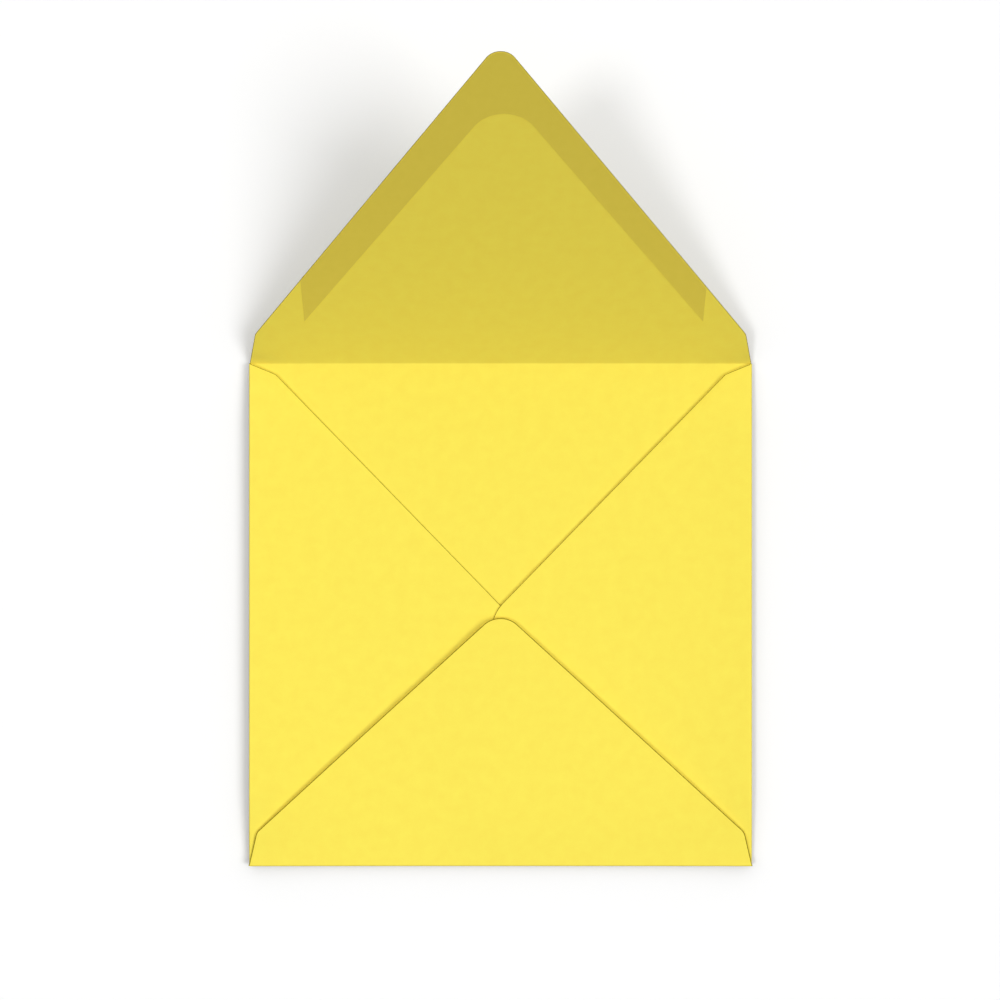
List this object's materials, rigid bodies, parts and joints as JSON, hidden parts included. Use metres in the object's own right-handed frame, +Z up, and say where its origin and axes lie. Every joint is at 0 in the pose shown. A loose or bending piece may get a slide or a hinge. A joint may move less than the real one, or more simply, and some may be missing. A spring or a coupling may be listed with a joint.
{
  "type": "square envelope",
  "caption": "Square paper envelope folded from one sheet, lying on its front panel with the pointed, gummed closure flap open and raised.",
  "frame": {"origin": "centre of the front panel's outer face, which lies on the table", "axes": "+X across the envelope to the right flap, +Y from the bottom fold up to the closure fold, +Z up through the pocket to the flaps"},
  "size_m": [0.155, 0.2327, 0.0834],
  "materials": {
    "paper": "matte",
    "dried_gum": "satin"
  },
  "bodies": {
    "root": {"envelope_sheet": "paper", "gum_strip": "dried_gum"}
  },
  "joints": []
}
